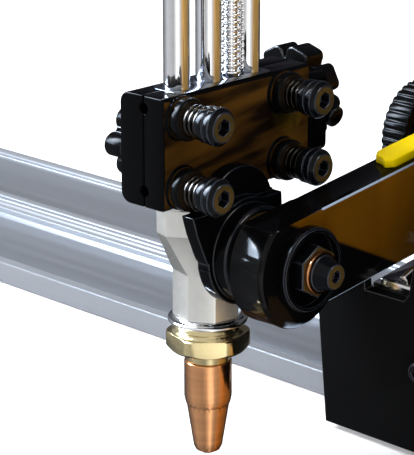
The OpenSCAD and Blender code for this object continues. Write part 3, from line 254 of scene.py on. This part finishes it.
def add_grain(material, scale, stretch=(1, 1, 1), depth=0.0, rough=0.0, shade=0.0, detail=3.0):
    """Fine marks from a noise: bump, spread of roughness and spread of colour."""
    tree, shader = material.node_tree, principled(material)
    mapping = tree.nodes.new("ShaderNodeMapping")
    mapping.inputs["Scale"].default_value = stretch
    feed(mapping.inputs["Vector"], tree.nodes.new("ShaderNodeTexCoord").outputs["Object"])
    noise = tree.nodes.new("ShaderNodeTexNoise")
    noise.inputs["Scale"].default_value = scale
    noise.inputs["Detail"].default_value = detail
    feed(noise.inputs["Vector"], mapping.outputs["Vector"])
    marks = noise.outputs["Fac"]
    if depth:
        bump = tree.nodes.new("ShaderNodeBump")
        bump.inputs["Distance"].default_value = depth
        bump.inputs["Strength"].default_value = 1.0
        feed(bump.inputs["Height"], marks)
        feed(shader.inputs["Normal"], bump.outputs["Normal"])
    if rough:
        middle = shader.inputs["Roughness"].default_value
        smoothest = max(middle - rough, least_roughness)
        feed(shader.inputs["Roughness"], between(tree, marks, most_grain, (smoothest, middle + rough)))
    if shade:
        base = shader.inputs["Base Color"]
        tone = between(tree, marks, most_grain, (1 - shade, 1 + shade))
        feed(base, blend(tree, 1.0, held(base), tone, "MULTIPLY"))


def select_only(piece):
    bpy.ops.object.select_all(action="DESELECT")
    piece.select_set(True)
    bpy.context.view_layer.objects.active = piece


def round_corners(piece, width, segments, sharper_than, edge_slot=-1):
    bevel = piece.modifiers.new("corners", "BEVEL")
    bevel.width = width
    bevel.segments = segments
    bevel.limit_method = "ANGLE"
    bevel.angle_limit = sharper_than
    bevel.use_clamp_overlap = False
    bevel.material = edge_slot
    bpy.ops.object.modifier_apply(modifier=bevel.name)


def rounded_copy(node, body, material, width, segments=2, edge=None, join_flats=True):
    """A copy of a CAD node, shown in its place, with its corners rounded where it has a width for them."""
    piece = bpy.data.objects.new(node + "_finished", nodes[node].data.copy())
    bpy.context.scene.collection.objects.link(piece)
    piece.data.materials.clear()
    piece.data.materials.append(material)
    if edge:
        piece.data.materials.append(edge)
    select_only(piece)
    bpy.ops.object.mode_set(mode="EDIT")
    bpy.ops.mesh.select_all(action="SELECT")
    bpy.ops.mesh.remove_doubles(threshold=same_place)
    if join_flats:
        bpy.ops.mesh.dissolve_limited(angle_limit=flat_angle)
    bpy.ops.object.mode_set(mode="OBJECT")
    if width:
        round_corners(piece, width, segments, corner_angle, edge_slot=1 if edge else -1)
    bpy.ops.object.shade_smooth_by_angle(angle=smooth_angle)
    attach(piece, body)
    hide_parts(node)


aluminium = new_finish("drawn_aluminium", (0.405, 0.43, 0.47), metal=0.4, roughness=0.34, specular=0.3)
add_grain(aluminium, 1.0, (1.0, 170, 170), depth=0.000004, rough=0.04, shade=0.07, detail=2.0)
# Painted shade: upward faces are darkened to 0.45 on the channel floors and 0.78 on the lands, side faces to
# 0.80.
tree, base = aluminium.node_tree, principled(aluminium).inputs["Base Color"]
coordinates = tree.nodes.new("ShaderNodeTexCoord").outputs
height = parts_of(tree, coordinates["Object"])["Z"]
level_shade = between(tree, height, channel_to_land, (channel_shade, land_shade))
upturned = parts_of(tree, coordinates["Normal"])["Z"]
rail_shade = between(tree, upturned, side_to_top, (side_shade, level_shade))
feed(base, blend(tree, 1.0, held(base), rail_shade, "MULTIPLY"))
rounded_copy("rail", "track", aluminium, width=0.0003)
polished_steel = new_finish("polished_steel", (0.62, 0.62, 0.64), metal=1.0, roughness=0.16)
add_grain(polished_steel, 500, depth=0.000003, rough=0.04, shade=0.04)
rounded_copy("joiner_pins", "track", polished_steel, width=0.0002)

# Chassis and axle bearings.
# A cast base in grey paint, with ground steel bearings pressed into its hangers. The bearings keep
# the CAD's own mesh, as only their finish shows.


def dress(node, material):
    """The CAD node keeps its own mesh and takes this material."""
    mesh = nodes[node].data
    for index in range(len(mesh.materials)):
        mesh.materials[index] = material
    if not mesh.materials:
        mesh.materials.append(material)


casting = new_finish("grey_casting", (0.10, 0.105, 0.11), roughness=0.55)
add_grain(casting, 900, depth=0.00008, rough=0.08, shade=0.12)
rounded_copy("chassis", "carriage", casting, width=0.0006)
ground_steel = new_finish("ground_steel", (0.55, 0.56, 0.58), metal=1.0, roughness=0.28)
add_grain(ground_steel, 1500, depth=0.000006, rough=0.08, shade=0.06)
dress("axle_bearings", ground_steel)

# Side plates and their screws.
# Two flat steel plates in black powder coating, a little paler at their edges, are held by blackened
# socket screws. A brown tint on the faces towards +X of blackened, painted and moulded pieces stands
# in for the warm light that the photograph shows reflected in such faces.
powder_black = new_finish("powder_black", (0.0036, 0.0037, 0.0039), roughness=0.5, specular=0.02)
add_grain(powder_black, 2600, depth=0.00003, rough=0.06, shade=0.10)
# Painted highlight: the plates' rounded edges take a paler black.
powder_edge_highlight = new_finish("powder_black_edge", (0.035, 0.036, 0.038), roughness=0.5, specular=0.2)
add_grain(powder_edge_highlight, 1400, shade=0.3)
for node in ("front_plate", "rear_plate"):
    rounded_copy(node, "carriage", powder_black, width=0.0003, edge=powder_edge_highlight)
# Painted reflection: where and in what streaks a warm reflection is painted into the base colour.
facing_warm_reflection, most_streaks = (0.84, 0.99), (0.35, 0.65)
streak_slope, streak_stretch = math.radians(32), (1, 26, 160)


def paint_warm_reflection(material, colour, streaks, reach=1.0):
    """Paints a warm reflection as colour on the faces that look along +X, in sloping streaks and as far as
    reach says.
    """
    tree, base = material.node_tree, principled(material).inputs["Base Color"]
    coordinates = tree.nodes.new("ShaderNodeTexCoord").outputs
    facing = between(tree, parts_of(tree, coordinates["Normal"])["X"], facing_warm_reflection, (0.0, reach), smooth=True)
    mapping = tree.nodes.new("ShaderNodeMapping")
    mapping.inputs["Rotation"].default_value = (streak_slope, 0, 0)
    mapping.inputs["Scale"].default_value = streak_stretch
    feed(mapping.inputs["Vector"], coordinates["Object"])
    noise = tree.nodes.new("ShaderNodeTexNoise")
    noise.inputs["Scale"].default_value = 1.0
    noise.inputs["Detail"].default_value = 2.0
    feed(noise.inputs["Vector"], mapping.outputs["Vector"])
    strength = between(tree, noise.outputs["Fac"], most_streaks, (1 - streaks, 1.0))
    feed(base, blend(tree, calculate(tree, "MULTIPLY", facing, strength), held(base), (*colour, 1)))


black_steel = new_finish("black_steel", (0.0022, 0.0026, 0.0036), roughness=0.17, specular=0.09)
add_grain(black_steel, 500, depth=0.000004, rough=0.05, shade=0.15)
# Painted reflection: a brown tint on the faces towards +X.
paint_warm_reflection(black_steel, (0.058, 0.036, 0.010), streaks=0.3)
# Painted highlight: the rounded edges of blackened steel take a paler black.
steel_edge_highlight = new_finish("black_steel_edge", (0.022, 0.026, 0.036), metal=0.4, roughness=0.2)
add_grain(steel_edge_highlight, 700, shade=0.3)
rounded_copy("body_screws", "carriage", black_steel, width=0.0003, edge=steel_edge_highlight)

# Housing.
# A folded steel cover in black gloss paint over the motor, gearbox and circuit board. A paler colour
# at its corners stands in for the shine along them.
black_paint = (0.0014, 0.0015, 0.0018)
black_gloss = new_finish("black_gloss", black_paint, roughness=0.12, specular=0.04)
add_grain(black_gloss, 260, depth=0.00001, rough=0.04)
# Painted highlight: a paler black on the rounded corners of gloss paint.
gloss_edge_highlight = new_finish("black_gloss_edge", (0.005, 0.006, 0.009), roughness=0.14, specular=0.35)
add_grain(gloss_edge_highlight, 300, shade=0.5, rough=0.05)
rounded_copy("housing", "carriage", black_gloss, width=0.0012, segments=3, edge=gloss_edge_highlight)

# Control panel with its lamp, and the fuse holder.
# A satin grey plate lies on the housing's slope, with a red lens in it for the power lamp. The moulded
# black fuse holder is pressed into the housing's end.
panel_grey = new_finish("panel_grey", (0.42, 0.44, 0.46), roughness=0.45)
add_grain(panel_grey, 1800, depth=0.00001, rough=0.05, shade=0.04)
rounded_copy("control_panel", "carriage", panel_grey, width=0.0004)
red_lens = new_finish("red_lens", (0.75, 0.03, 0.02), roughness=0.12)
add_grain(red_lens, 900, rough=0.03, shade=0.1)
rounded_copy("power_lamp", "carriage", red_lens, width=0.0002)
black_plastic = new_finish("black_plastic", (0.0022, 0.0024, 0.0028), roughness=0.2, specular=0.05)
add_grain(black_plastic, 1800, depth=0.000006, rough=0.05, shade=0.08)
# Painted reflection: a faint brown tint on the faces towards +X.
paint_warm_reflection(black_plastic, (0.016, 0.008, 0.002), streaks=0.2)
rounded_copy("fuse_holder", "carriage", black_plastic, width=0.0003)

# Power inlet and carry handle.
# A polished steel socket for the supply lead sits beside the fuse holder, and a moulded black handle
# on top lifts the carriage off its rail.
rounded_copy("power_inlet", "carriage", polished_steel, width=0.0003)
rounded_copy("carry_handle", "carriage", black_plastic, width=0.0006)

# Speed knob, direction rocker and clutch lever.
# A fluted black knob for the speed and a black rocker for the direction sit on the panel, and a red
# lever at the housing's end lets the drive go.
# Painted highlight: the knobs' rounded edges take a paler black.
plastic_edge_highlight = new_finish("black_plastic_edge", (0.008, 0.009, 0.012), roughness=0.18, specular=0.3)
add_grain(plastic_edge_highlight, 500, shade=0.4, rough=0.05)
rounded_copy("speed_knob", "speed_control", black_plastic, width=0.0003, edge=plastic_edge_highlight)
rounded_copy("direction_switch", "direction_rocker", black_plastic, width=0.0004)
red_plastic = new_finish("red_plastic", (0.55, 0.02, 0.015), roughness=0.25)
add_grain(red_plastic, 1200, depth=0.00001, rough=0.05, shade=0.06)
rounded_copy("clutch_lever", "clutch", red_plastic, width=0.0006)

# Motor, gearbox and circuit board.
# The motor and its worm gearbox have cast bodies in the chassis's grey, and the board that sets the
# speed is a green laminate.
for node in ("drive_motor", "gearbox"):
    rounded_copy(node, "carriage", casting, width=0.0006)
board_green = new_finish("board_green", (0.01, 0.12, 0.05), roughness=0.35)
add_grain(board_green, 600, rough=0.08, shade=0.15)
rounded_copy("circuit_board", "carriage", board_green, width=0.0002)

# Output gear and wheel sets.
# A bronze gear on the gearbox's shaft drives the first of two ground steel axles with their wheels;
# the second axle only rolls along.
bronze = new_finish("bronze", (0.50, 0.33, 0.13), metal=1.0, roughness=0.35)
add_grain(bronze, 1500, depth=0.00001, rough=0.1, shade=0.1)
rounded_copy("output_gear", "output_shaft", bronze, width=0.0001)
for node, body in (("drive_wheel_set", "drive_wheels"), ("idler_wheel_set", "idler_wheels")):
    rounded_copy(node, body, ground_steel, width=0.0003)

# Arm guide with its liners and cradle.
# The arm slides through a black painted block on tan plastic liners, and over a cradle of polished
# nickel that shows in the front plate's notch.
# The guide's corners take the same painted highlight.
rounded_copy("arm_guide", "carriage", black_gloss, width=0.0008, segments=3, edge=gloss_edge_highlight)
liner = new_finish("liner", (0.55, 0.47, 0.30), roughness=0.5)
add_grain(liner, 700, rough=0.06, shade=0.06)
dress("guide_liners", liner)
polished_nickel = new_finish("polished_nickel", (0.80, 0.78, 0.75), metal=1.0, roughness=0.14)
add_grain(polished_nickel, 400, depth=0.000006, rough=0.04, shade=0.04)
rounded_copy("arm_cradle", "carriage", polished_nickel, width=0.0004)

# Cross-feed knob, its pinion and the arm lock knob.
# A knurled black knob turns a steel pinion that moves the arm in and out, and a small black knob
# clamps the arm where it stands.
rounded_copy("feed_knob", "cross_feed", black_plastic, width=0.0003)
rounded_copy("feed_pinion", "cross_feed", polished_steel, width=0.0001)
rounded_copy("arm_lock_knob", "arm_lock", black_plastic, width=0.0005, edge=plastic_edge_highlight)

# Arm.
# A black gloss bar with a round hub end. Tints stand in for what the photograph shows reflected in it:
# amber on the front face above a sloping line, stronger in the carriage's shadow, and a pale line
# along the front corners from the hub inwards.
pivot_y, pivot_z = joints["bevel_tilt"]["pos_m"][1:]
arm_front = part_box("arm")[1].x
card_slope = math.radians(32.15)
card_line = Vector((0, math.sin(card_slope), math.cos(card_slope)))
card_point = Vector((0, pivot_y + 0.0196, pivot_z + 0.0021))
card_start = card_line.dot(card_point)
card_edge = (card_start - 0.0009, card_start + 0.0007)
carriage_shadow, shadow_lift = (pivot_y + 0.039, pivot_y + 0.065), 2.9
corner_highlight_colour = (0.36, 0.44, 0.56)
pale_front = (arm_front - 0.0012, arm_front - 0.0008)
pale_start = (pivot_y - 0.0115, pivot_y - 0.0095)
pale_corner = (0.22, 0.42)


def along(tree, vector, direction):
    """How far a vector reaches in a direction."""
    node = tree.nodes.new("ShaderNodeVectorMath")
    node.operation = "DOT_PRODUCT"
    feed(node.inputs[0], vector)
    feed(node.inputs[1], direction)
    return node.outputs["Value"]


arm_gloss = new_finish("arm_gloss", black_paint, roughness=0.13, specular=0.10)
add_grain(arm_gloss, 260, depth=0.00001, rough=0.04)
tree, base = arm_gloss.node_tree, principled(arm_gloss).inputs["Base Color"]
coordinates = tree.nodes.new("ShaderNodeTexCoord").outputs
# Painted reflection: amber on the front face above the sloping line, made stronger in the carriage's shadow.
above_line = between(tree, along(tree, coordinates["Object"], card_line), card_edge, smooth=True)
paint_warm_reflection(arm_gloss, (0.104, 0.040, 0.0018), streaks=0.06, reach=above_line)
place = parts_of(tree, coordinates["Object"])
normal = parts_of(tree, coordinates["Normal"])
lift = between(tree, place["Y"], carriage_shadow, (1.0, shadow_lift))
paint = blend(tree, 1.0, held(base), lift, "MULTIPLY")
# Painted highlight: a pale line along the front corners, away from the hub.
at_front = between(tree, place["X"], pale_front)
off_hub = between(tree, place["Y"], pale_start, (0.0, at_front))
corner = calculate(tree, "MULTIPLY", normal["X"], calculate(tree, "ABSOLUTE", normal["Z"]))
pale = between(tree, corner, pale_corner, (0.0, off_hub), smooth=True)
feed(base, blend(tree, pale, paint, (*corner_highlight_colour, 1)))
rounded_copy("arm", "cross_arm", arm_gloss, width=0)

# Arm rack, strip and screws.
# A toothed steel bar is screwed on the arm's back for the cross-feed, and a plain yellow plastic
# strip on its top.
rounded_copy("arm_rack", "cross_arm", polished_steel, width=0.0001)
yellow_plastic = new_finish("yellow_plastic", (1.0, 0.74, 0.0), roughness=0.32, specular=0.05)
add_grain(yellow_plastic, 900, depth=0.00001, rough=0.05, shade=0.03)
rounded_copy("arm_strip", "cross_arm", yellow_plastic, width=0.0005)
rounded_copy("arm_screws", "cross_arm", polished_steel, width=0.0002)

# Bevel joint.
# A black casting turns on the arm's hub against a bronze washer, held by a bolt, a nut and a copper
# washer in a dished cap.
# The bracket's corners take the same painted highlight.
rounded_copy(
    "bevel_bracket", "torch_holder", black_gloss, width=0.0005, segments=3, edge=gloss_edge_highlight
)
dress("friction_washer", bronze)
rounded_copy("pivot_bolt", "torch_holder", black_steel, width=0.0003, edge=steel_edge_highlight)
rounded_copy("pivot_nut", "torch_holder", black_steel, width=0.0004, edge=steel_edge_highlight)
copper = new_finish("copper", (0.70, 0.34, 0.155), metal=1.0, roughness=0.17)
add_grain(copper, 1.0, (4, 4, 900), depth=0.000003, rough=0.03, shade=0.05)
add_grain(copper, 1.0, (4, 4, 190), shade=0.10, detail=1.0)
rounded_copy("pivot_washer", "torch_holder", copper, width=0.0003)
rounded_copy("pivot_cap", "torch_holder", black_gloss, width=0.0002, edge=steel_edge_highlight)

# Clamp halves.
# Two black painted blocks hold the gas tubes and the rack between them. Amber streaks on the front
# one's side towards +X stand in for reflections, as on the arm.
block_gloss = new_finish("block_gloss", black_paint, roughness=0.12, specular=0.04)
add_grain(block_gloss, 260, depth=0.00001, rough=0.04)
# Painted reflection: amber streaks on the faces towards +X.
paint_warm_reflection(block_gloss, (0.066, 0.029, 0.005), streaks=0.92)
for node, material in (("front_clamp", block_gloss), ("rear_clamp", black_gloss)):
    rounded_copy(node, "torch_holder", material, width=0.0005, segments=3)

# Clamp screws with their collars and springs.
# Four blackened cap screws press the halves together through black collars and stacks of dark disc
# springs; the bracket's screws are alike.
for node in ("clamp_screws", "bracket_screws"):
    rounded_copy(node, "torch_holder", black_steel, width=0.0003, edge=steel_edge_highlight)
rounded_copy("clamp_collars", "torch_holder", black_plastic, width=0.0004)
spring_steel = new_finish("spring_steel", (0.036, 0.033, 0.03), metal=1.0, roughness=0.2)
add_grain(spring_steel, 700, rough=0.05, shade=0.15)
rounded_copy("disc_springs", "torch_holder", spring_steel, width=0.0001)

# Guide plate, lift knob and torch lock knob.
# A dark polished plate guides the tubes at the clamp's top. A moulded star knob turns the pinion that
# lifts the torch, and a lobed knob locks it.
dark_nickel = new_finish("dark_nickel", (0.15, 0.168, 0.20), metal=1.0, roughness=0.22)
add_grain(dark_nickel, 300, depth=0.000004, rough=0.04, shade=0.05)
rounded_copy("guide_plate", "torch_holder", dark_nickel, width=0.0003)
rounded_copy(
    "lift_knob", "torch_lift", black_plastic, width=0.0007, segments=3, edge=plastic_edge_highlight
)
rounded_copy("lift_pinion", "torch_lift", polished_steel, width=0.0001)
rounded_copy("torch_lock_knob", "torch_lock", black_plastic, width=0.0006, edge=plastic_edge_highlight)

# Gas tubes and torch rack.
# Chrome tubes and a round toothed bar stand in the clamp. A gold tint on the side towards +X stands in
# for the warm light that the photograph shows reflected there.
gold_side, gold_span = (0.996, -0.087, 0), (0.90, 0.99)
gold, gold_metal = (0.72, 0.43, 0.13), 0.5
warm_chrome = new_finish("warm_chrome", (0.82, 0.82, 0.83), metal=1.0, roughness=0.07)
add_grain(warm_chrome, 300, depth=0.000002, rough=0.02, shade=0.03)
# Painted reflection: the side towards +X turns gold and less metallic.
tree, shader = warm_chrome.node_tree, principled(warm_chrome)
facing = along(tree, tree.nodes.new("ShaderNodeTexCoord").outputs["Normal"], gold_side)
painted_gold_reflection = between(tree, facing, gold_span, smooth=True)
base = shader.inputs["Base Color"]
feed(base, blend(tree, painted_gold_reflection, held(base), (*gold, 1)))
feed(shader.inputs["Metallic"], between(tree, painted_gold_reflection, (0.0, 1.0), (1.0, gold_metal)))
rounded_copy("torch_tubes", "torch", warm_chrome, width=0.0002)
rounded_copy("torch_rack", "torch", warm_chrome, width=0.0002)

# Torch head.
# A satin nickel forging, eight-sided below and drawn out to a slab above where the tubes enter. It is
# made of three blocks in the torch's own upright, and then leaned as the torch leans at rest.
head_low, head_neck, head_shoulder, head_high = -0.027, -0.010, 0.0055, 0.015
head_flats, head_turn = 0.0234, math.radians(9.5)
head_sides = 8
head_corner_reach = head_flats / 2 / math.cos(math.pi / head_sides)
head_low_corners = []
for side in range(head_sides):
    bearing = head_turn + side * 2 * math.pi / head_sides
    head_low_corners.append((head_corner_reach * math.cos(bearing), head_corner_reach * math.sin(bearing)))
head_top_corners = (
    (-0.0066, -0.0188), (-0.0008, -0.0202), (0.0068, -0.0158),
    (0.0068, 0.0206), (0.003, 0.0244), (-0.0066, 0.0244),
)
head_rounding, head_corner_angle, head_smooth_angle = 0.0004, math.radians(20), math.radians(14)
same_level = 0.00001
underside, underside_shade = (-0.35, -0.12), 0.5
satin_nickel = new_finish("satin_nickel", (0.82, 0.81, 0.76), metal=0.85, roughness=0.26)
add_grain(satin_nickel, 300, rough=0.012, shade=0.03)
# Painted shade: faces that look downwards are darkened, to half where they look steeply down.
tree, base = satin_nickel.node_tree, principled(satin_nickel).inputs["Base Color"]
upturned = parts_of(tree, tree.nodes.new("ShaderNodeTexCoord").outputs["Normal"])["Z"]
shaded = between(tree, upturned, underside, (underside_shade, 1.0))
feed(base, blend(tree, 1.0, held(base), shaded, "MULTIPLY"))
head_points, head_faces = [], []
for low_corners, low, high_corners, high in (
    (head_low_corners, head_low, head_low_corners, head_neck),
    (head_low_corners, head_neck, head_top_corners, head_shoulder),
    (head_top_corners, head_shoulder, head_top_corners, head_high),
):
    mesh = bpy.data.meshes.new("torch_head_block")
    mesh.from_pydata([(x, y, low) for x, y in low_corners] + [(x, y, high) for x, y in high_corners], [], [])
    block = bpy.data.objects.new("torch_head_block", mesh)
    bpy.context.scene.collection.objects.link(block)
    select_only(block)
    bpy.ops.object.mode_set(mode="EDIT")
    bpy.ops.mesh.select_all(action="SELECT")
    bpy.ops.mesh.convex_hull()
    bpy.ops.object.mode_set(mode="OBJECT")
    first = len(head_points)
    head_points.extend(point.co.copy() for point in block.data.vertices)
    for face in block.data.polygons:
        inner_floor = face.center.z - low < same_level and low > head_low
        inner_roof = high - face.center.z < same_level and high < head_high
        if not inner_floor and not inner_roof:
            head_faces.append([first + index for index in face.vertices])
    bpy.data.objects.remove(block)
mesh = bpy.data.meshes.new("torch_head_finished")
mesh.from_pydata(head_points, [], head_faces)
torch_lean = Vector((0, 0, 1)).rotation_difference(Vector(joints["torch_lift_slide"]["axis"]))
mesh.transform(Matrix.Translation((0, pivot_y, pivot_z)) @ torch_lean.to_matrix().to_4x4())
head = bpy.data.objects.new("torch_head_finished", mesh)
bpy.context.scene.collection.objects.link(head)
head.data.materials.append(satin_nickel)
select_only(head)
bpy.ops.object.mode_set(mode="EDIT")
bpy.ops.mesh.select_all(action="SELECT")
bpy.ops.mesh.remove_doubles(threshold=same_place)
bpy.ops.mesh.dissolve_limited(angle_limit=flat_angle)
bpy.ops.mesh.normals_make_consistent(inside=False)
bpy.ops.object.mode_set(mode="OBJECT")
round_corners(head, head_rounding, segments=2, sharper_than=head_corner_angle)
bpy.ops.object.shade_smooth_by_angle(angle=head_smooth_angle)
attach(head, "torch")
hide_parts("torch_head")

# Head ring, nozzle nut and nozzle.
# A chrome ring and a brass hexagon nut hold the turned copper nozzle in the head. Its core is a
# darker copper, bored for the cutting jet.
chrome = new_finish("chrome", (0.82, 0.82, 0.83), metal=1.0, roughness=0.05)
add_grain(chrome, 300, depth=0.000002, rough=0.02, shade=0.03)
rounded_copy("head_ring", "torch", chrome, width=0.0003)
brass = new_finish("brass", (0.66, 0.55, 0.30), metal=1.0, roughness=0.2)
add_grain(brass, 1000, depth=0.000004, rough=0.06, shade=0.05)
rounded_copy("nozzle_nut", "torch", brass, width=0.0002)
rounded_copy("nozzle", "torch", copper, width=0.0002, join_flats=False)
dark_copper = new_finish("dark_copper", (0.16, 0.07, 0.04), metal=1.0, roughness=0.45)
add_grain(dark_copper, 900, rough=0.1, shade=0.15)
dress("nozzle_core", dark_copper)

# Valve block with its taps and hose connectors.
# A brass block with satin nickel plating stands on the tubes. Blue knobs are for oxygen and preheat
# and a red one for fuel gas, and bare brass connectors on top take the hoses.
# The valve block takes the same painted shade on faces that look downwards.
rounded_copy("valve_block", "torch", satin_nickel, width=0.0006)
blue_plastic = new_finish("blue_plastic", (0.02, 0.07, 0.35), roughness=0.25)
add_grain(blue_plastic, 1200, depth=0.00001, rough=0.05, shade=0.06)
for node, body in (("oxygen_valve", "oxygen_tap"), ("preheat_valve", "preheat_tap")):
    rounded_copy(node, body, blue_plastic, width=0.0003)
rounded_copy("fuel_valve", "fuel_tap", red_plastic, width=0.0003)
rounded_copy("hose_connectors", "torch", brass, width=0.0003)
